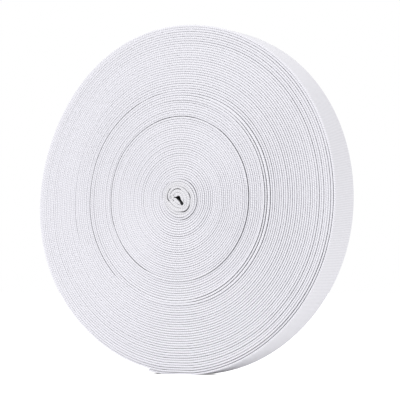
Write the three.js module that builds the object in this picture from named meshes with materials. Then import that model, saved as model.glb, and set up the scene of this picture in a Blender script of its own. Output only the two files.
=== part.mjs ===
// A roll of flat elastic tape, wound on itself without a core and standing on its edge.
// Millimetres, +Z up. The roll's axis lies along Y, and its front face looks towards -Y.
// The origin is on the ground, under the middle of the roll.
//
// The roll is one solid: the tape's outermost turn draws its rim, with the free end as a
// step of one thickness beside the small flat that the roll stands on, and the turns that
// were wound a little further out or in stand as rings on both faces.

import * as THREE from 'three';
import { mergeVertices } from 'three/addons/utils/BufferGeometryUtils.js';

// ---- Driving dimensions ----

const TAPE_WIDTH = 19;
const TURN_PITCH = 1.15;        // from one turn to the next, which is the tape's thickness as wound
const OUTER_RADIUS = 86.5;      // over the outermost turn, at its free end
const SELVEDGE_ROUND = 0.4;     // how far the tape's edges round over
const FLAT_CHORD = 18;          // length of the flat that the roll's weight presses into its rim
const FREE_END_ANGLE = -12;     // degrees from straight down, + towards +X, where the tape ends
const END_CUT_ANGLE = 0.12;     // degrees of rim that the cut end's own face takes up
const COLUMNS = 90;             // steps round the roll

// The roll was wound by eye and isn't quite round. Each row raises the rim in a number of
// even lobes, one of them towards an angle given like FREE_END_ANGLE.
const OUT_OF_ROUND = [
  { lobes: 2, height: 0.39, towards: -45 },
  { lobes: 3, height: 0.22, towards: -57 },
  { lobes: 4, height: 0.22, towards: 21 },
  { lobes: 5, height: 0.21, towards: -4 },
];

// The groups of turns, from the rim inwards. Each row runs from its outer radius to the next
// row's, and shift is how far those turns stand out at the front (-) or at the back (+).
const WOUND_GROUPS = [
  { outer: OUTER_RADIUS, shift: 0 },
  { outer: 84.2, shift: -0.3 },
  { outer: 81.9, shift: 0.1 },
  { outer: 63.8, shift: -0.15 },
  { outer: 53.2, shift: -0.45 },
  { outer: 50.5, shift: 0.1 },
  { outer: 42.0, shift: -0.5 },
  { outer: 40.8, shift: 0 },
  { outer: 10.2, shift: -0.35 },
];

// The core: the first turns, doubled over on themselves and pushed a little out of the front
// face, with the narrow slit that they leave between them.
const CORE = { halfLength: 6.4, halfWidth: 5.2, tilt: -20, shift: -0.8 };
const SLIT = { halfLength: 2.6, halfWidth: 0.65, tilt: -58 };
const CORE_CENTRE = { x: 0.5, z: -0.8 };   // from the roll's axis
const ROUND_AGAIN_RADIUS = 18;             // rings of this radius or more are true circles

const ELASTIC = new THREE.MeshStandardMaterial({ color: 0xeeeef2, roughness: 0.9, metalness: 0 });

// ---- The rim ----

const radians = THREE.MathUtils.degToRad;
const HALF_FLAT_ANGLE = THREE.MathUtils.radToDeg(Math.asin(FLAT_CHORD / 2 / spiralRadius(0)));
const AXIS_HEIGHT = spiralRadius(0) * Math.cos(radians(HALF_FLAT_ANGLE));
const AXIS_X = -middleOfRim();   // centres the roll over the origin

// The outermost turn's radius. Angles are degrees from straight down, + towards +X, and the
// tape is followed from its free end, so it has turned less than once at any angle.
function spiralRadius(angle) {
  const wound = OUTER_RADIUS - TURN_PITCH * (angle - FREE_END_ANGLE) / 360;
  return OUT_OF_ROUND.reduce(
    (radius, { lobes, height, towards }) => radius + height * Math.cos(lobes * radians(angle - towards)),
    wound,
  );
}

function rimRadius(angle) {
  const onFlat = Math.abs(angle) <= HALF_FLAT_ANGLE;
  return onFlat ? AXIS_HEIGHT / Math.cos(radians(angle)) : spiralRadius(angle);
}

// The angles at which the rim is drawn: the free end, the flat, and even steps up to the foot
// of the cut end, one whole turn on.
function rimAngles() {
  const angles = [FREE_END_ANGLE, -HALF_FLAT_ANGLE, HALF_FLAT_ANGLE];
  const last = FREE_END_ANGLE + 360 - END_CUT_ANGLE;
  const steps = COLUMNS - angles.length;
  for (let i = 1; i <= steps; i++) {
    angles.push(HALF_FLAT_ANGLE + (last - HALF_FLAT_ANGLE) * i / steps);
  }
  return angles;
}

// Halfway across the rim along X, from the roll's axis.
function middleOfRim() {
  const across = rimAngles().map((angle) => rimRadius(angle) * Math.sin(radians(angle)));
  return (Math.min(...across) + Math.max(...across)) / 2;
}

function evenAngles() {
  return Array.from({ length: COLUMNS }, (_, i) => FREE_END_ANGLE + 360 * i / COLUMNS);
}

// ---- The rings ----

// Distance from the middle of an ellipse to its edge, towards an angle.
function ellipseRadius({ halfLength, halfWidth, tilt }, angle) {
  // tilt is measured from +X towards +Z, and angle from -Z towards +X
  const turned = radians(angle - 90 - tilt);
  return halfLength * halfWidth / Math.hypot(halfWidth * Math.cos(turned), halfLength * Math.sin(turned));
}

// A ring is a closed line of points round the roll at one depth.
function ring(angles, radiusAt, y, offCentre = 0) {
  return angles.map((angle) => {
    const radius = radiusAt(angle);
    return new THREE.Vector3(
      AXIS_X + CORE_CENTRE.x * offCentre + radius * Math.sin(radians(angle)),
      y,
      AXIS_HEIGHT + CORE_CENTRE.z * offCentre - radius * Math.cos(radians(angle)),
    );
  });
}

// The rings of one face, from the rim to the slit. side is -1 for the front and 1 for the back.
function faceRings(side) {
  const depth = (shift) => side * TAPE_WIDTH / 2 + shift;
  const outermost = depth(WOUND_GROUPS[0].shift);
  const rings = [
    ring(rimAngles(), rimRadius, outermost - side * SELVEDGE_ROUND),
    ring(rimAngles(), (angle) => rimRadius(angle) - SELVEDGE_ROUND, outermost),
  ];
  WOUND_GROUPS.slice(1).forEach(({ outer, shift }, i) => {
    const outsideShift = WOUND_GROUPS[i].shift;
    const offCentre = Math.max(0, 1 - outer / ROUND_AGAIN_RADIUS);
    rings.push(ring(evenAngles(), () => outer, depth(outsideShift), offCentre));
    rings.push(ring(evenAngles(), () => outer, depth(shift), offCentre));
  });
  const aroundCore = WOUND_GROUPS.at(-1).shift;
  rings.push(ring(evenAngles(), (angle) => ellipseRadius(CORE, angle), depth(aroundCore), 1));
  rings.push(ring(evenAngles(), (angle) => ellipseRadius(CORE, angle), depth(CORE.shift), 1));
  rings.push(ring(evenAngles(), (angle) => ellipseRadius(SLIT, angle), depth(CORE.shift), 1));
  return rings;
}

// ---- The solid ----

// Joins each ring to the next and the last to the first, all round.
function solidFromRings(rings) {
  const count = rings[0].length;
  const positions = rings.flat().flatMap((point) => point.toArray());
  const index = [];
  for (let r = 0; r < rings.length; r++) {
    const here = r * count;
    const next = ((r + 1) % rings.length) * count;
    for (let i = 0; i < count; i++) {
      const j = (i + 1) % count;
      index.push(here + i, next + j, next + i, here + i, here + j, next + j);
    }
  }
  const geometry = new THREE.BufferGeometry();
  geometry.setAttribute('position', new THREE.Float32BufferAttribute(positions, 3));
  geometry.setIndex(index);
  return mergeVertices(geometry);
}

// Front face from the rim in to the slit, through the slit, and back out over the back face.
function woundRoll() {
  const rings = [...faceRings(-1), ...faceRings(1).reverse()];
  const mesh = new THREE.Mesh(solidFromRings(rings), ELASTIC);
  mesh.name = 'wound_roll';
  return mesh;
}

const roll = new THREE.Group();
roll.add(woundRoll());

export default roll;
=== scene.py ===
"""A roll of flat white knitted elastic, wound without a core and standing on its edge.

The winding rule is worked out in millimetres as one long centreline, from the free end on
the rim to the folded inner end in the middle. A Geometry Nodes tree then sweeps the tape's
section along it.
"""
import math

import bpy
import numpy as np
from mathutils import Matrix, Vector


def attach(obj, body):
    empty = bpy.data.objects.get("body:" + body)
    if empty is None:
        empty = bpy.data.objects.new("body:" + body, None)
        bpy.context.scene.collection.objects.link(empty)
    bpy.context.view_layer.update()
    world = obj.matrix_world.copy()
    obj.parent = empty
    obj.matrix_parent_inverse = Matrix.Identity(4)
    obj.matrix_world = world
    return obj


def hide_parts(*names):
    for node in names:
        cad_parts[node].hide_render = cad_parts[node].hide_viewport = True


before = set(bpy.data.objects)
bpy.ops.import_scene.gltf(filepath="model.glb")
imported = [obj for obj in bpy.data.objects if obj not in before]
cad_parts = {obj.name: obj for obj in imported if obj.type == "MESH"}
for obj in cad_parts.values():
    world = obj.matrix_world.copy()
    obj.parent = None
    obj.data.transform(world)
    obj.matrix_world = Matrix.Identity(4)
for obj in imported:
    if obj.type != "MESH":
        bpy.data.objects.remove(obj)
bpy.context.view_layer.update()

MM = 0.001

# ---- Sizes shared with the CAD, in millimetres and degrees ----
# Angles run from straight down, + towards +X. The roll's axis lies along Y.

TAPE_WIDTH = 19.0
TURN_PITCH = 1.15
OUTER_RADIUS = 86.5
FLAT_CHORD = 18.0
FREE_END_ANGLE = -12.0

OUT_OF_ROUND = [
    # lobes, height, towards
    (2, 0.39, -45.0),
    (3, 0.22, -57.0),
    (4, 0.22, 21.0),
    (5, 0.21, -4.0),
]

# ---- The tape ----

TAPE_THICKNESS = 1.06
SELVEDGE_ROUND = 0.45      # how far the edges round over, across the tape
PRESSED_ROUND = 0.3        # the same where turns are pressed flat together
CORE_ROUND = 0.2           # the same in the core
SELVEDGE_CURL = 0.24       # how far the edges lean outwards, away from the roll's axis
SELVEDGE_POINTS = 12       # round the whole section, without the middle of its inner face
ROOM_SHARE = 0.49          # of the way to the next turn, the most that half a turn may fill
REST_CLEARANCE = 0.01      # between the middle of the tape and the turn inside it
RIB_HEIGHT = 0.035
SHARP_FROM = 60.0          # edges of the mesh bent by more degrees than this stay sharp

# ---- The winding ----

TURNS = 71.725             # from the free end to the inner end
STEPS_PER_TURN = 106       # inside the outermost turn, and fewer further in
LEAST_STEPS_PER_TURN = 52
CORE_STEPS_PER_TURN = 170
SLIT_STEPS_PER_TURN = 400  # for the slit's narrow ends
SLIT_TURNS = 1.2           # how many turns from the inner end lie round the slit
RIM_TURNS = 1.02           # how many turns from the free end take points RIM_STEP apart
RIM_STEP = 0.4             # half a rib's pitch, so each point is the top or foot of a rib
RIB_END = (0.96, 1.0)      # turns over which the ribs die away, as the next turn covers them
FLAT_REACH = 8.0           # turns over which the flat spot dies away
ROUNDER_INWARDS = 1.5      # power of the radius by which the lobes of the rim die away

# Stretches that are pressed flat against their neighbours, the core last.
PRESSED = [
    # from turn, to turn
    (0.31, 0.95),
    (28.95, 29.50),
    (67.0, TURNS + 1),
]
PRESSED_FADE = 0.03        # of a turn

# How far the turns are pressed at some sides of the roll.
PRESSED_SIDES = [
    # towards, how far, turns from the rim inwards over which it dies away
    (0.0, 0.72, 1000),
    (180.0, 0.68, 1000),
    (90.0, 0.6, 12),
]

# How far the turns' common middle drifts along X.
DRIFT = [
    # outer radius of the turn, drift
    (0.0, 0.0),
    (15.0, 0.0),
    (38.0, -0.5),
    (53.0, -0.8),
    (70.0, -0.3),
    (87.0, 0.0),
]

# How far the turns have settled out of their even winding, all the way round in steps of
# SETTLED_EVERY degrees, + outwards.
SETTLED_EVERY = 30.0
SETTLED = [
    # outer radius of the turn, settled at 0, 30, 60 and so on to 330
    (6.0, [0.0] * 12),
    (11.0, [-0.4] * 12),
    (18.0, [-0.2] * 12),
    (41.0, [-1.06, -1.06, -1.19, -1.44, -1.25, -0.88, -0.44, -0.62, -0.19, -0.81, -1.06, -1.06]),
    (51.2, [-1.00, -0.95, -1.20, -1.45, -1.25, -0.90, -0.40, -0.50, -0.10, -0.75, -1.00, -1.00]),
    (53.9, [-0.78, -0.20, -0.36, -0.63, -0.32, -0.25, -0.35, -0.35, 0.05, -0.62, -0.94, -0.80]),
    (63.0, [-0.75, -0.35, -0.50, -0.70, -0.45, -0.15, -0.10, 0.25, 0.60, -0.20, -0.50, -0.70]),
    (78.0, [-0.40, -0.25, -0.30, -0.60, -0.30, -0.10, 0.0, 0.0, 0.10, 0.0, -0.15, -0.30]),
    (84.8, [-0.10, -0.05, -0.05, -0.40, -0.10, 0.0, 0.0, 0.0, 0.0, 0.0, 0.0, -0.05]),
    (86.5, [0.0] * 12),
]

# Stretches where the tape lies loose over the turn inside it. The wider gap counts where two
# overlap, and each fades at its ends.
LOOSE = [
    # from turn, to turn, gap
    (0.01, 0.27, 0.10),
    (0.07, 0.25, 0.15),
    (1.02, 1.27, 0.09),
    (1.07, 1.25, 0.14),
    (1.36, 1.44, 0.03),
    (2.05, 2.23, 0.04),
    (2.34, 2.48, 0.06),
    (19.60, 19.84, 0.18),
    (26.24, 26.46, 0.13),
    (27.22, 27.45, 0.03),
    (27.55, 27.61, 0.20),
    (27.59, 27.75, 0.32),
    (27.72, 27.92, 0.29),
    (28.03, 28.43, 0.02),
    (29.05, 29.33, 0.15),
    (29.31, 29.42, 0.10),
    (29.72, 29.95, 0.15),
    (30.05, 30.33, 0.19),
    (30.31, 30.43, 0.10),
    (38.05, 38.45, 0.10),
    (38.48, 38.57, 0.24),
    (38.54, 38.69, 0.38),
    (38.66, 38.85, 0.42),
    (38.82, 38.97, 0.25),
    (39.10, 39.32, 0.27),
    (39.32, 39.39, 0.12),
    (39.39, 39.45, 0.05),
    (65.03, 65.30, 0.20),
    (65.28, 65.44, 0.12),
    (65.62, 65.80, 0.40),
    (67.73, 67.83, 0.20),
    (68.06, 68.21, 0.35),
    (68.26, 68.37, 0.30),
    (68.37, 68.48, 0.12),
    (68.64, 68.84, 0.55),
    (69.47, 69.73, 0.35),
]
LOOSE_FADE = 0.02          # of a turn
LOOSE_WANDER = (0.06, 1.7, 21)   # gap, bends per turn, seed

# How much looser all turns lie at some sides of the roll.
LOOSE_SIDES = [
    # towards, gap, how narrow the side is (a power of the cosine)
    (50.0, 0.05, 1),
    (225.0, 0.09, 4),
    (320.0, 0.03, 4),
]

# How far the turns stand out at the front (-) or at the back (+), from the free end inwards.
SHIFTS = [
    # from turn, shift
    (0.0, 0.0),
    (2.0, -0.2),
    (4.0, 0.0),
    (19.7, -0.1),
    (28.5, -0.1),
    (28.9, -0.42),
    (29.5, -0.15),
    (29.9, -0.5),
    (30.5, -0.15),
    (30.9, -0.4),
    (31.5, 0.0),
    (38.8, -0.3),
    (39.05, -0.5),
    (39.45, -0.2),
    (39.8, 0.0),
    (66.0, -0.35),
    (68.7, -0.8),
]
SHIFT_FADE = 0.12          # of a turn, over which one shift passes into the next
SHIFT_WANDERS = [
    # height, bends per turn, seed
    (0.10, 0.35, 3),
    (0.08, 1.3, 5),
    (0.04, 4.0, 8),
]

# The doubled inner end leaves a slit: a bent line in X and Z from the roll's axis, and half
# its width at each point.
SLIT = [
    # x, z, half width
    (-5.4, 1.0, 0.05),
    (-2.3, 0.68, 0.10),
    (0.0, 0.5, 0.65),
    (2.0, -2.3, 0.9),
]
SLIT_BEND = 2              # which of its points is the bend
SLIT_BLEND = 0.5           # how softly its legs run into each other
CORE_LAYERS = 3            # turns pressed in between the slit and the core's round outline
CORE_RADIUS = 6.3
CORE_CENTRE = (0.1, 0.1)
CORE_OVAL = (0.6, 50.0)    # how much longer it is towards this angle
CORE_EVENED_OUT = 13.0     # radius from which the turns no longer show the core's shape
CORE_ROUND_FADE = 0.6      # of a turn
STEP_OUT = 0.025           # of a turn, over which the innermost turns pass over the inner end
STEP_OUT_GROWTH = 0.18     # how much more it takes with each turn outwards
GREYER_CORE_TURNS = 6          # innermost turns that are tinted a little greyer

# ---- The knit and its colours, in millimetres ----

RIB_PITCH = 0.8            # from one crosswise rib to the next
WALE_PITCH = 1.3           # from one lengthwise column of stitches to the next
STITCH_PITCH = 1.15        # between the stitches along a selvedge
STITCH_SLANT = 0.3         # how far they slant along the tape, over half its thickness
EDGE_WIDTH = 0.3           # at each edge, all in the selvedge's yarn
EDGE_FADE = 0.45           # over which the face's yarn takes over
BETWEEN_WALES = 0.6        # of a rib's height that is left between two wales
FUZZ_HEIGHT = 0.6          # of a rib's height
FUZZ_SCALE, FUZZ_DETAIL, FUZZ_ROUGHNESS = 2.5, 3.0, 0.6
BUMP_STRENGTH, BUMP_DEPTH = 0.5, 0.12

FACE_WHITE = (0.81, 0.803, 0.845, 1)
SELVEDGE_WHITE = (0.922, 0.914, 0.955, 1)
CORE_GREY_TINT = (0.91, 0.91, 0.895, 1)
SHADE_BETWEEN_TURNS = (0.08, 0.08, 0.09, 1)      # painted shade, nearly black, on faces that the next turn covers
RIB_SHADE, RIB_SHADE_SHARE = (0.6, 0.6, 0.62, 1), 0.4
STITCH_SHADE = (0.82, 0.82, 0.84, 1)
YARN_ROUGHNESS, YARN_SPECULAR = 0.88, 0.25
YARN_SHEEN, YARN_SHEEN_ROUGHNESS = 0.15, 0.6

# ---- The camera, the light and the floor, in millimetres but where it says metres ----

CAMERA_AIM = (6.24, 0.0, -0.28)      # from the middle of the roll's axis
CAMERA_YAW, CAMERA_PITCH = 31.80, -3.19
CAMERA_DISTANCE = 806.0
CAMERA_LENS, CAMERA_SENSOR = 146.7, 36.0
CAMERA_CLIP = (0.01, 100.0)          # nearest and furthest, in metres

SOFT_LIGHTS = [
    # name, x, y, z and size in metres, watts
    ("key", -0.8, -0.9, 1.8, 1.0, 12.5),
    ("above", 0.2, -0.3, 2.0, 1.0, 4.5),
]
WORLD_LIGHT = 0.895        # as it lights the roll; the camera sees it white
FLOOR_SIZE = 40.0          # metres
FLOOR_GLOW = 0.95          # as seen by the camera
FLOOR_UPLIGHT = 0.10       # as it lights the roll
FLOOR_GREY = 0.9
CONTACT_SHADOW_GREY = 0.6         # painted contact shadow: the floor's darker grey in the lines of contact, where the floor doesn't glow
# Boxes of painted contact shadow on the floor under the roll.
CONTACT_SHADOW_BOXES = [
    # x from, x to, y from, y to, distances over which it fades along X and Y (mm)
    (-15.5, -3.0, -10.6, 8.5, 2.5, 1.2),
    (11.0, 13.0, -9.6, 4.5, 1.5, 1.0),
]


# ---- The winding rule ----

def smooth_step(x, start, end):
    t = np.clip((x - start) / (end - start), 0.0, 1.0)
    return t * t * (3.0 - 2.0 * t)


def out_of_round(angle):
    return sum(height * np.cos(lobes * np.radians(angle - towards))
               for lobes, height, towards in OUT_OF_ROUND)


def rim_radius(angle):
    """The outermost turn's outer radius, for angles less than a turn from the free end."""
    return OUTER_RADIUS - TURN_PITCH * (angle - FREE_END_ANGLE) / 360 + out_of_round(angle)


HALF_FLAT_ANGLE = math.degrees(math.asin(FLAT_CHORD / 2 / rim_radius(0.0)))
AXIS_HEIGHT = rim_radius(0.0) * math.cos(math.radians(HALF_FLAT_ANGLE))


def axis_x():
    """Where the roll's axis stands along X, for the roll to be centred over the origin."""
    round_the_rim = np.linspace(FREE_END_ANGLE, FREE_END_ANGLE + 360, 721)     # each half degree
    across = rim_radius(round_the_rim) * np.sin(np.radians(round_the_rim))
    return -(across.min() + across.max()) / 2


AXIS_X = axis_x()


def flattening(angle):
    """How far the flat spot lies inside the round rim."""
    wrapped = (angle + 180.0) % 360.0 - 180.0
    inside = np.clip(wrapped, -HALF_FLAT_ANGLE, HALF_FLAT_ANGLE)
    depth = rim_radius(inside) - AXIS_HEIGHT / np.cos(np.radians(inside))
    return np.where(np.abs(wrapped) < HALF_FLAT_ANGLE, np.maximum(depth, 0.0), 0.0)


def distance_to_slit(x, z):
    """Distance from the slit's edge, its two legs blended where they meet."""
    legs = []
    for (ax, az, a_half), (bx, bz, b_half) in zip(SLIT, SLIT[1:]):
        lx, lz = bx - ax, bz - az
        t = np.clip(((x - ax) * lx + (z - az) * lz) / (lx * lx + lz * lz), 0.0, 1.0)
        half = a_half + (b_half - a_half) * t
        legs.append(np.hypot(x - ax - t * lx, z - az - t * lz) - half)
    return -SLIT_BLEND * np.log(sum(np.exp(-leg / SLIT_BLEND) for leg in legs))


def radius_round_slit(angle, distance):
    """From the slit's bend, how far it is to the line at that distance from the slit, found
    by halving the range in which it must lie."""
    furthest, halvings = 60.0, 40
    bend_x, bend_z, _ = SLIT[SLIT_BEND]
    sin, cos = np.sin(np.radians(angle)), np.cos(np.radians(angle))
    near, far = np.zeros_like(angle), np.full_like(angle, furthest)
    for _ in range(halvings):
        middle = (near + far) / 2
        short = distance_to_slit(bend_x + middle * sin, bend_z - middle * cos) < distance
        near, far = np.where(short, middle, near), np.where(short, far, middle)
    return (near + far) / 2


def core_radius(angle):
    """From the slit's bend, how far it is to the core's round outline."""
    x, z = SLIT[SLIT_BEND][0] - CORE_CENTRE[0], SLIT[SLIT_BEND][1] - CORE_CENTRE[1]
    oval, towards = CORE_OVAL
    sin, cos = np.sin(np.radians(angle)), -np.cos(np.radians(angle))
    along = x * sin + z * cos
    return (np.sqrt(along ** 2 - (x * x + z * z) + CORE_RADIUS ** 2) - along
            + oval * np.cos(2 * np.radians(angle - towards)))


def layers_wound(turns):
    """How many layers of tape lie inside the middle of this one. Near the middle the tape
    keeps its place for most of a turn and steps out where it passes over the inner end;
    further out it winds evenly."""
    from_end = TURNS - turns
    whole = np.floor(from_end)
    step = np.clip(STEP_OUT + STEP_OUT_GROWTH * (from_end - 1), STEP_OUT, 1.0)
    part = np.clip((from_end - whole - (1 - step)) / step, 0.0, 1.0)
    return whole + part + 0.5


def wander(turns, bends_per_turn, seed):
    """A smooth random line along the tape, mostly from -1 to 1."""
    spare = 5      # knots past the two ends
    knots = np.random.default_rng(seed).uniform(-1, 1, int(TURNS * bends_per_turn) + spare)
    place = np.clip(turns, 0, None) * bends_per_turn + 1
    i = np.floor(place).astype(int)
    t = place - i
    a, b, c, d = (knots[i + k] for k in (-1, 0, 1, 2))
    return b + 0.5 * t * (c - a + t * (2 * a - 5 * b + 4 * c - d + t * (3 * (b - c) + d - a)))


def within(turns, start, end, fade):
    """1 from start to end, fading to 0 inside both."""
    return smooth_step(turns, start, start + fade) * smooth_step(-turns, -end, fade - end)


def facing(turns, towards):
    """1 at the side of the roll towards that angle, 0 from a quarter turn away."""
    return np.clip(np.cos(np.radians(FREE_END_ANGLE + 360.0 * turns - towards)), 0, 1)


def pressing(turns):
    """1 where the tape is pressed flat against its neighbours, 0 elsewhere."""
    return sum(within(turns, start, end, PRESSED_FADE) for start, end in PRESSED)


def looseness(turns):
    """The gap between the tape and the turn inside it, beyond the usual one."""
    wandering_gap, bends_per_turn, seed = LOOSE_WANDER
    loose = wandering_gap * np.clip(wander(turns, bends_per_turn, seed), 0, 1)
    for towards, gap, narrow in LOOSE_SIDES:
        loose = loose + gap * facing(turns, towards) ** narrow
    loose = loose * (1 - pressing(turns))
    for start, end, gap in LOOSE:
        loose = np.maximum(loose, gap * within(turns, start, end, LOOSE_FADE))
    return loose


def settling(angle, outer):
    """How far a turn has settled out of its even winding."""
    place = np.mod(angle, 360.0) / SETTLED_EVERY
    before = np.floor(place).astype(int)
    t = smooth_step(place, before, before + 1)
    radii = [radius for radius, _ in SETTLED]
    table = np.array([row for _, row in SETTLED])
    places = table.shape[1]
    settled = 0.0
    for k, (low, high) in enumerate(zip(radii, radii[1:])):
        between = (outer >= low) & (outer < high)
        for row, weight in ((k, high - outer), (k + 1, outer - low)):
            around = table[row][before % places] * (1 - t) + table[row][(before + 1) % places] * t
            settled = settled + np.where(between, around * weight / (high - low), 0.0)
    return settled


def centreline(turns):
    """Points of the tape's middle in X and Z, from the roll's axis."""
    angle = FREE_END_ANGLE + 360.0 * turns
    outer = OUTER_RADIUS - TURN_PITCH * turns
    radius = (outer - TAPE_THICKNESS / 2 + settling(angle, outer)
              + out_of_round(angle) * (outer / OUTER_RADIUS) ** ROUNDER_INWARDS
              - flattening(angle) * np.exp(-turns / FLAT_REACH))
    layers = layers_wound(turns)
    slit, core = radius_round_slit(angle, 0.0), core_radius(angle)
    pressed = (slit + (core - slit) * np.minimum(layers / CORE_LAYERS, 1)
               + TURN_PITCH * np.maximum(layers - CORE_LAYERS, 0))
    roundness = smooth_step(radius, CORE_RADIUS, CORE_EVENED_OUT)
    radius = radius * roundness + pressed * (1 - roundness)
    bend_x, bend_z, _ = SLIT[SLIT_BEND]
    drift = np.interp(outer, *zip(*DRIFT))
    x = bend_x * (1 - roundness) + drift + radius * np.sin(np.radians(angle))
    z = bend_z * (1 - roundness) - radius * np.cos(np.radians(angle))
    return x, z


def shift_wound(turns):
    """How far each point stands out along Y."""
    shift = np.full_like(turns, SHIFTS[0][1])
    for (_, before), (start, after) in zip(SHIFTS, SHIFTS[1:]):
        shift += (after - before) * smooth_step(turns, start, start + SHIFT_FADE)
    for height, bends_per_turn, seed in SHIFT_WANDERS:
        shift += height * wander(turns, bends_per_turn, seed)
    return shift


def stations():
    """How many turns from the free end each point of the centreline lies."""
    places = [0.0]
    rim_turn = RIM_STEP / (2 * math.pi * (OUTER_RADIUS - TURN_PITCH / 2))
    while places[-1] < TURNS:
        if places[-1] < RIM_TURNS:
            places.append(places[-1] + rim_turn)
            continue
        outer = OUTER_RADIUS - TURN_PITCH * places[-1]
        steps = max(LEAST_STEPS_PER_TURN, STEPS_PER_TURN * math.sqrt(outer / OUTER_RADIUS))
        if places[-1] > TURNS - CORE_LAYERS:
            steps = CORE_STEPS_PER_TURN
        if places[-1] > TURNS - SLIT_TURNS:
            steps = SLIT_STEPS_PER_TURN
        places.append(places[-1] + 1 / steps)
    places[-1] = TURNS
    return np.array(places)


def wound_line():
    """The centreline as a poly line mesh, with what the sweep needs at each point."""
    turns = stations()
    x, z = centreline(turns)
    tx, tz = np.gradient(x), np.gradient(z)
    length = np.hypot(tx, tz)
    out_x, out_z = tz / length, -tx / length

    def room(other):
        """From this turn's middle to the other one's, without end where there is none."""
        other_x, other_z = centreline(np.clip(other, 0, TURNS))
        distance = np.abs((other_x - x) * out_x + (other_z - z) * out_z)
        return np.where((other < 0) | (other > TURNS), np.inf, distance)

    pressed = pressing(turns)
    for towards, how_far, reach in PRESSED_SIDES:
        pressed = np.maximum(pressed, how_far * facing(turns, towards) ** 2 * np.exp(-turns / reach))
    # Half the thickness towards the turn outside this one and towards the turn inside it.
    outer_room, inner_room = ROOM_SHARE * room(turns - 1), ROOM_SHARE * room(turns + 1)
    inner_room = np.where(np.isinf(inner_room), outer_room, inner_room)
    outer_room = np.where(np.isinf(outer_room), TAPE_THICKNESS / 2, outer_room)
    half = TAPE_THICKNESS / 2
    outer_half = np.minimum(half + (outer_room - half) * pressed, outer_room)
    inner_half = np.minimum(half + (inner_room - half) * pressed, inner_room) - looseness(turns)
    thickness = outer_half + inner_half
    # Along the middle of its width the tape rests on the turn inside, so no light comes through.
    to_rest = room(turns + 1) - inner_half - np.interp(turns + 1, turns, outer_half) - REST_CLEARANCE
    to_rest = np.where(np.isinf(to_rest), 0.0, np.maximum(to_rest, 0.0))
    x = x + out_x * (outer_half - inner_half) / 2
    z = z + out_z * (outer_half - inner_half) / 2
    rounding = SELVEDGE_ROUND + (PRESSED_ROUND - SELVEDGE_ROUND) * pressed
    core = TURNS - CORE_LAYERS
    rounding += (CORE_ROUND - PRESSED_ROUND) * smooth_step(turns, core - CORE_ROUND_FADE, core)
    along = np.concatenate([[0], np.cumsum(np.hypot(np.diff(x), np.diff(z)))])
    ribs = np.where(np.arange(len(turns)) % 2, 1.0, -1.0) * (1 - smooth_step(turns, *RIB_END))
    bare = np.where(turns < 1, 1.0, 0.0)
    greyer_core = smooth_step(turns, TURNS - GREYER_CORE_TURNS, core)

    mesh = bpy.data.meshes.new("wound_line")
    points = np.stack([AXIS_X + x, shift_wound(turns), AXIS_HEIGHT + z], axis=1) * MM
    mesh.from_pydata(points.tolist(), [(i, i + 1) for i in range(len(points) - 1)], [])
    outward = np.stack([out_x, np.zeros_like(x), out_z], axis=1)
    kept = mesh.attributes.new("outward", "FLOAT_VECTOR", "POINT")
    kept.data.foreach_set("vector", outward.ravel())
    at_points = {
        "along": along,
        "thickness": thickness * MM,
        "rounding": rounding * MM,
        "to_rest": to_rest * MM,
        "ribs": ribs,
        "bare": bare,
        "greyer_core": greyer_core,
    }
    for name, values in at_points.items():
        kept = mesh.attributes.new(name, "FLOAT", "POINT")
        kept.data.foreach_set("value", values.astype(np.float32))
    return mesh, along[-1]


# ---- Node helpers ----

def add(tree, kind, inputs=None, **settings):
    """Adds a node. A value of inputs that is a socket is linked, any other is set."""
    node = tree.nodes.new(kind)
    for name, value in settings.items():
        setattr(node, name, value)
    for key, value in (inputs or {}).items():
        if isinstance(value, bpy.types.NodeSocket):
            tree.links.new(value, node.inputs[key])
        else:
            node.inputs[key].default_value = value
    return node


def calc(tree, operation, *values, clamp=False):
    inputs = dict(enumerate(values))
    return add(tree, "ShaderNodeMath", inputs, operation=operation, use_clamp=clamp).outputs[0]


# A Mix node has sockets for each kind of value; these are the share and the colours.
MIX_SHARE, MIX_FIRST, MIX_SECOND, MIX_COLOUR = 0, 6, 7, 2


def mix(tree, share, first, second, blend="MIX"):
    """The first colour, passing into the second or multiplied by it as the share rises."""
    inputs = {MIX_SHARE: share, MIX_FIRST: first, MIX_SECOND: second}
    return add(tree, "ShaderNodeMix", inputs, data_type="RGBA", blend_type=blend).outputs[MIX_COLOUR]


def attribute(tree, name, output="Fac"):
    return add(tree, "ShaderNodeAttribute", attribute_name=name).outputs[output]


# ---- The sweep ----

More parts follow.
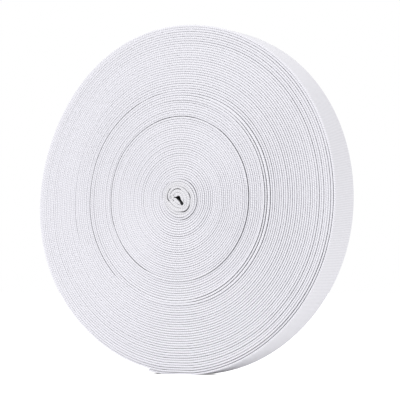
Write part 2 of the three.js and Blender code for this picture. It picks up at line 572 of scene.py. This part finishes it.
def tape_tree():
    """Geometry Nodes that sweep the tape's section along the wound line."""
    tree = bpy.data.node_groups.new("Wound tape", "GeometryNodeTree")
    face = tree.interface
    face.new_socket("Geometry", in_out="INPUT", socket_type="NodeSocketGeometry")
    for name in ("Tape Width", "Selvedge Curl", "Rib Height"):
        face.new_socket(name, in_out="INPUT", socket_type="NodeSocketFloat")
    face.new_socket("Selvedge Points", in_out="INPUT", socket_type="NodeSocketInt")
    face.new_socket("Material", in_out="INPUT", socket_type="NodeSocketMaterial")
    face.new_socket("Geometry", in_out="OUTPUT", socket_type="NodeSocketGeometry")
    given = add(tree, "NodeGroupInput").outputs

    def named(name, kind="FLOAT"):
        node = add(tree, "GeometryNodeInputNamedAttribute", {"Name": name}, data_type=kind)
        return node.outputs["Attribute"]

    def captured(geometry, kind, value):
        node = add(tree, "GeometryNodeCaptureAttribute", {"Geometry": geometry}, domain="POINT")
        node.capture_items.new(kind, "kept")
        tree.links.new(value, node.inputs["kept"])
        return node.outputs["Geometry"], node.outputs["kept"]

    line = add(tree, "GeometryNodeMeshToCurve", {"Mesh": given["Geometry"]}).outputs["Curve"]
    line, centre = captured(line, "VECTOR", add(tree, "GeometryNodeInputPosition").outputs[0])

    # The section starts as points round a unit circle: one halfway across the tape on its inner
    # face, and the rest in even steps, the first of them half a step to either side of it. The
    # circle's two halves are then moved apart to the two selvedges.
    points = calc(tree, "ADD", given["Selvedge Points"], 1.0)
    circle = add(tree, "GeometryNodeCurvePrimitiveCircle",
                 {"Resolution": points, "Radius": 1.0}, mode="RADIUS").outputs["Curve"]
    index = add(tree, "GeometryNodeInputIndex").outputs[0]
    steps = calc(tree, "MULTIPLY_ADD", given["Selvedge Points"], -0.5, index)
    steps = calc(tree, "MULTIPLY_ADD", calc(tree, "SIGN", steps), -0.5, steps)
    turn = calc(tree, "DIVIDE", calc(tree, "MULTIPLY", steps, 2 * math.pi), given["Selvedge Points"])
    around = add(tree, "ShaderNodeCombineXYZ",
                 {"X": calc(tree, "MULTIPLY", calc(tree, "COSINE", turn), -1.0),
                  "Y": calc(tree, "MULTIPLY", calc(tree, "SINE", turn), -1.0)}).outputs[0]
    circle, on_circle = captured(circle, "VECTOR", around)
    swept = add(tree, "GeometryNodeCurveToMesh",
                {"Curve": line, "Profile Curve": circle, "Fill Caps": True}).outputs["Mesh"]

    section = add(tree, "ShaderNodeSeparateXYZ", {0: on_circle}).outputs
    side_out = calc(tree, "SIGN", section["X"])
    side_back = calc(tree, "SIGN", section["Y"])
    half_thickness = calc(tree, "MULTIPLY", named("thickness"), 0.5)
    depth = calc(tree, "MULTIPLY", section["X"], half_thickness)
    rib = calc(tree, "MULTIPLY", calc(tree, "MULTIPLY", named("ribs"), given["Rib Height"]), side_out)
    bare_side = calc(tree, "MAXIMUM", calc(tree, "MULTIPLY", named("bare"), side_out), 0.0)
    depth = calc(tree, "ADD", depth, calc(tree, "MULTIPLY", rib, bare_side))
    halfway = calc(tree, "SUBTRACT", 1.0, calc(tree, "ABSOLUTE", side_back))
    depth = calc(tree, "SUBTRACT", depth, calc(tree, "MULTIPLY", halfway, named("to_rest")))
    rounding = named("rounding")
    to_round = calc(tree, "SUBTRACT", calc(tree, "MULTIPLY", given["Tape Width"], 0.5), rounding)
    across = calc(tree, "ADD", calc(tree, "MULTIPLY", side_back, to_round),
                  calc(tree, "MULTIPLY", section["Y"], rounding))
    curl = calc(tree, "MULTIPLY", calc(tree, "ABSOLUTE", section["Y"]), given["Selvedge Curl"])
    depth = calc(tree, "ADD", depth, curl)
    outwards = add(tree, "ShaderNodeVectorMath", {0: named("outward", "FLOAT_VECTOR"), "Scale": depth},
                   operation="SCALE").outputs[0]
    sideways = add(tree, "ShaderNodeCombineXYZ", {"Y": across}).outputs[0]
    place = add(tree, "ShaderNodeVectorMath", {0: centre, 1: outwards}, operation="ADD").outputs[0]
    place = add(tree, "ShaderNodeVectorMath", {0: place, 1: sideways}, operation="ADD").outputs[0]
    moved = add(tree, "GeometryNodeSetPosition", {"Geometry": swept, "Position": place}).outputs[0]

    def stored(geometry, name, kind, value):
        return add(tree, "GeometryNodeStoreNamedAttribute",
                   {"Geometry": geometry, "Name": name, "Value": value},
                   data_type=kind, domain="POINT").outputs["Geometry"]

    in_mm = calc(tree, "MULTIPLY", across, 1 / MM)
    on_tape = add(tree, "ShaderNodeCombineXYZ",
                  {"X": named("along"), "Y": in_mm, "Z": section["X"]}).outputs[0]
    moved = stored(moved, "on_tape", "FLOAT_VECTOR", on_tape)
    # Marks the faces that the next turn covers, which the material paints with shade.
    moved = stored(moved, "shaded_where_covered", "FLOAT", calc(tree, "SUBTRACT", 1.0, bare_side))
    whole = add(tree, "GeometryNodeRealizeInstances", {"Geometry": moved}).outputs[0]
    whole = add(tree, "GeometryNodeSetMaterial",
                {"Geometry": whole, "Material": given["Material"]}).outputs[0]
    add(tree, "NodeGroupOutput", {"Geometry": whole})
    return tree


# ---- The knitted elastic ----

def knit_effect():
    """Crosswise ribs, lengthwise columns of stitches and fuzz, from the place on the tape."""
    tree = bpy.data.node_groups.new("Knit", "ShaderNodeTree")
    face = tree.interface
    face.new_socket("On Tape", in_out="INPUT", socket_type="NodeSocketVector")
    for name in ("Rib Pitch", "Wale Pitch", "Stitch Pitch", "Half Width"):
        face.new_socket(name, in_out="INPUT", socket_type="NodeSocketFloat")
    for name in ("Rib", "Stitch", "Selvedge", "Height"):
        face.new_socket(name, in_out="OUTPUT", socket_type="NodeSocketFloat")
    given = add(tree, "NodeGroupInput").outputs
    place = add(tree, "ShaderNodeSeparateXYZ", {0: given["On Tape"]}).outputs

    def wave(distance, pitch):
        turn = calc(tree, "MULTIPLY", calc(tree, "DIVIDE", distance, pitch), 2 * math.pi)
        return calc(tree, "MULTIPLY_ADD", calc(tree, "COSINE", turn), 0.5, 0.5)

    rib = wave(place["X"], given["Rib Pitch"])
    wale = wave(place["Y"], given["Wale Pitch"])
    # The selvedge's stitches slant across the thickness of the tape.
    slant = calc(tree, "MULTIPLY_ADD", place["Z"], STITCH_SLANT, place["X"])
    stitch = wave(slant, given["Stitch Pitch"])
    from_edge = calc(tree, "SUBTRACT", given["Half Width"], calc(tree, "ABSOLUTE", place["Y"]))
    past_edge = calc(tree, "DIVIDE", calc(tree, "SUBTRACT", from_edge, EDGE_WIDTH), EDGE_FADE)
    selvedge = calc(tree, "SUBTRACT", 1.0, past_edge, clamp=True)
    fuzz = add(tree, "ShaderNodeTexNoise",
               {"Vector": given["On Tape"], "Scale": FUZZ_SCALE, "Detail": FUZZ_DETAIL,
                "Roughness": FUZZ_ROUGHNESS}).outputs["Fac"]
    over_wales = calc(tree, "MULTIPLY_ADD", wale, 1 - BETWEEN_WALES, BETWEEN_WALES)
    height = calc(tree, "MULTIPLY", rib, over_wales)
    height = calc(tree, "ADD", height, calc(tree, "MULTIPLY", fuzz, FUZZ_HEIGHT))
    add(tree, "NodeGroupOutput", {"Rib": rib, "Stitch": stitch, "Selvedge": selvedge, "Height": height})
    return tree


def elastic_material(knit):
    material = bpy.data.materials.new("white_elastic")
    material.use_nodes = True
    tree = material.node_tree
    tree.nodes.clear()
    given = {
        "On Tape": attribute(tree, "on_tape", "Vector"),
        "Rib Pitch": RIB_PITCH,
        "Wale Pitch": WALE_PITCH,
        "Stitch Pitch": STITCH_PITCH,
        "Half Width": TAPE_WIDTH / 2,
    }
    knitted = add(tree, "ShaderNodeGroup", given, node_tree=knit).outputs
    selvedge = knitted["Selvedge"]
    yarn = mix(tree, selvedge, FACE_WHITE, SELVEDGE_WHITE)
    # The innermost turns are tinted a little greyer.
    greyer_core = mix(tree, attribute(tree, "greyer_core"), yarn, CORE_GREY_TINT, "MULTIPLY")
    # Painted shade: away from the selvedges, faces that the next turn covers are coloured nearly black,
    # standing in for the shade between turns.
    painted_gap_shade = calc(tree, "MULTIPLY", attribute(tree, "shaded_where_covered"), calc(tree, "SUBTRACT", 1.0, selvedge))
    shaded_where_covered = mix(tree, painted_gap_shade, greyer_core, SHADE_BETWEEN_TURNS)
    beside_ribs = calc(tree, "MULTIPLY", calc(tree, "SUBTRACT", 1.0, knitted["Rib"]), RIB_SHADE_SHARE)
    ribbed = mix(tree, beside_ribs, shaded_where_covered, RIB_SHADE, "MULTIPLY")
    beside_stitches = calc(tree, "MULTIPLY", calc(tree, "SUBTRACT", 1.0, knitted["Stitch"]), selvedge)
    stitched = mix(tree, beside_stitches, ribbed, STITCH_SHADE, "MULTIPLY")
    bump = add(tree, "ShaderNodeBump", {"Height": knitted["Height"], "Strength": BUMP_STRENGTH,
                                        "Distance": BUMP_DEPTH * MM}).outputs[0]
    shader = add(tree, "ShaderNodeBsdfPrincipled",
                 {"Base Color": stitched, "Normal": bump, "Roughness": YARN_ROUGHNESS,
                  "Specular IOR Level": YARN_SPECULAR, "Sheen Weight": YARN_SHEEN,
                  "Sheen Roughness": YARN_SHEEN_ROUGHNESS})
    add(tree, "ShaderNodeOutputMaterial", {"Surface": shader.outputs[0]})
    return material


def wound_tape():
    line, length = wound_line()
    holder = bpy.data.objects.new("line_holder", line)
    bpy.context.scene.collection.objects.link(holder)
    tree = tape_tree()
    values = {
        "Tape Width": TAPE_WIDTH * MM,
        "Selvedge Curl": SELVEDGE_CURL * MM,
        "Rib Height": RIB_HEIGHT * MM,
        "Selvedge Points": SELVEDGE_POINTS,
        "Material": elastic_material(knit_effect()),
    }
    modifier = holder.modifiers.new("Wound tape", "NODES")
    modifier.node_group = tree
    for item in tree.interface.items_tree:
        if item.in_out == "INPUT" and item.name in values:
            modifier[item.identifier] = values[item.name]
    ready = holder.evaluated_get(bpy.context.evaluated_depsgraph_get())
    mesh = bpy.data.meshes.new_from_object(ready)
    holder.modifiers.clear()
    bpy.data.objects.remove(holder)
    mesh.name = "wound_tape"
    mesh.shade_smooth()
    mesh.set_sharp_from_angle(angle=math.radians(SHARP_FROM))
    tape = bpy.data.objects.new("wound_tape", mesh)
    bpy.context.scene.collection.objects.link(tape)
    return tape, length


# ---- The stage ----

def beyond(tree, place, box):
    """0 over a box of the floor, rising to 1 over its fades."""
    x_from, x_to, y_from, y_to, x_fade, y_fade = (v * MM for v in box)
    edges = [("X", x_from, x_from - x_fade), ("X", x_to, x_to + x_fade),
             ("Y", y_from, y_from - y_fade), ("Y", y_to, y_to + y_fade)]
    furthest = 0.0
    for axis, inner, outer in edges:
        past = add(tree, "ShaderNodeMapRange",
                   {"Value": place[axis], "From Min": inner, "From Max": outer},
                   interpolation_type="SMOOTHSTEP").outputs[0]
        furthest = calc(tree, "MAXIMUM", furthest, past)
    return furthest


def stage_floor():
    material = bpy.data.materials.new("pale_floor")
    material.use_nodes = True
    tree = material.node_tree
    tree.nodes.clear()
    # The floor is as white as the backdrop, except in the lines of contact under the roll, where it
    # doesn't glow, so its real shade shows, and its grey is darkened into a painted contact shadow.
    place = add(tree, "ShaderNodeSeparateXYZ",
                {0: add(tree, "ShaderNodeTexCoord").outputs["Object"]}).outputs
    beyond_shadows = 1.0
    for box in CONTACT_SHADOW_BOXES:
        beyond_shadows = calc(tree, "MINIMUM", beyond_shadows, beyond(tree, place, box))
    seen = add(tree, "ShaderNodeLightPath").outputs["Is Camera Ray"]
    strength = add(tree, "ShaderNodeMapRange",
                   {"Value": seen, "To Min": FLOOR_UPLIGHT, "To Max": FLOOR_GLOW}).outputs[0]
    strength = calc(tree, "MULTIPLY", strength, beyond_shadows)
    glow = add(tree, "ShaderNodeEmission", {"Color": (1, 1, 1, 1), "Strength": strength}).outputs[0]
    shadowed_grey = add(tree, "ShaderNodeMapRange",
               {"Value": beyond_shadows, "To Min": CONTACT_SHADOW_GREY, "To Max": FLOOR_GREY}).outputs[0]
    matt = add(tree, "ShaderNodeBsdfDiffuse", {"Color": shadowed_grey}).outputs[0]
    shown = add(tree, "ShaderNodeAddShader", {0: matt, 1: glow}).outputs[0]
    add(tree, "ShaderNodeOutputMaterial", {"Surface": shown})
    half = FLOOR_SIZE / 2
    mesh = bpy.data.meshes.new("floor")
    corners = [(-half, -half, 0), (half, -half, 0), (half, half, 0), (-half, half, 0)]
    mesh.from_pydata(corners, [], [(0, 1, 2, 3)])
    mesh.materials.append(material)
    floor = bpy.data.objects.new("floor", mesh)
    bpy.context.scene.collection.objects.link(floor)


def stage_light():
    world = bpy.data.worlds.new("studio")
    bpy.context.scene.world = world
    world.use_nodes = True
    tree = world.node_tree
    tree.nodes.clear()
    seen = add(tree, "ShaderNodeLightPath").outputs["Is Camera Ray"]
    strength = calc(tree, "MULTIPLY_ADD", seen, 1.0 - WORLD_LIGHT, WORLD_LIGHT)
    backdrop = add(tree, "ShaderNodeBackground",
                   {"Color": (1, 1, 1, 1), "Strength": strength}).outputs[0]
    add(tree, "ShaderNodeOutputWorld", {"Surface": backdrop})
    middle = Vector((0, 0, AXIS_HEIGHT * MM))
    for name, x, y, z, size, watts in SOFT_LIGHTS:
        light = bpy.data.lights.new(name, "AREA")
        light.shape = "DISK"
        light.size = size
        light.energy = watts
        lamp = bpy.data.objects.new(name, light)
        lamp.location = (x, y, z)
        lamp.rotation_euler = (middle - lamp.location).to_track_quat("-Z", "Y").to_euler()
        bpy.context.scene.collection.objects.link(lamp)


def camera():
    yaw, pitch = math.radians(CAMERA_YAW), math.radians(CAMERA_PITCH)
    back = Vector((math.sin(yaw) * math.cos(pitch), -math.cos(yaw) * math.cos(pitch), math.sin(pitch)))
    aim = Vector((AXIS_X, 0, AXIS_HEIGHT)) + Vector(CAMERA_AIM)
    seen = bpy.data.cameras.new("camera")
    seen.lens = CAMERA_LENS
    seen.sensor_width = CAMERA_SENSOR
    seen.clip_start, seen.clip_end = CAMERA_CLIP
    holder = bpy.data.objects.new("camera", seen)
    holder.location = (aim + back * CAMERA_DISTANCE) * MM
    holder.rotation_euler = back.to_track_quat("Z", "Y").to_euler()
    bpy.context.scene.collection.objects.link(holder)
    bpy.context.scene.camera = holder


tape, tape_length = wound_tape()
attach(tape, "root")
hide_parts("wound_roll")

stage_floor()
stage_light()
camera()
bpy.context.scene.view_settings.view_transform = "Standard"
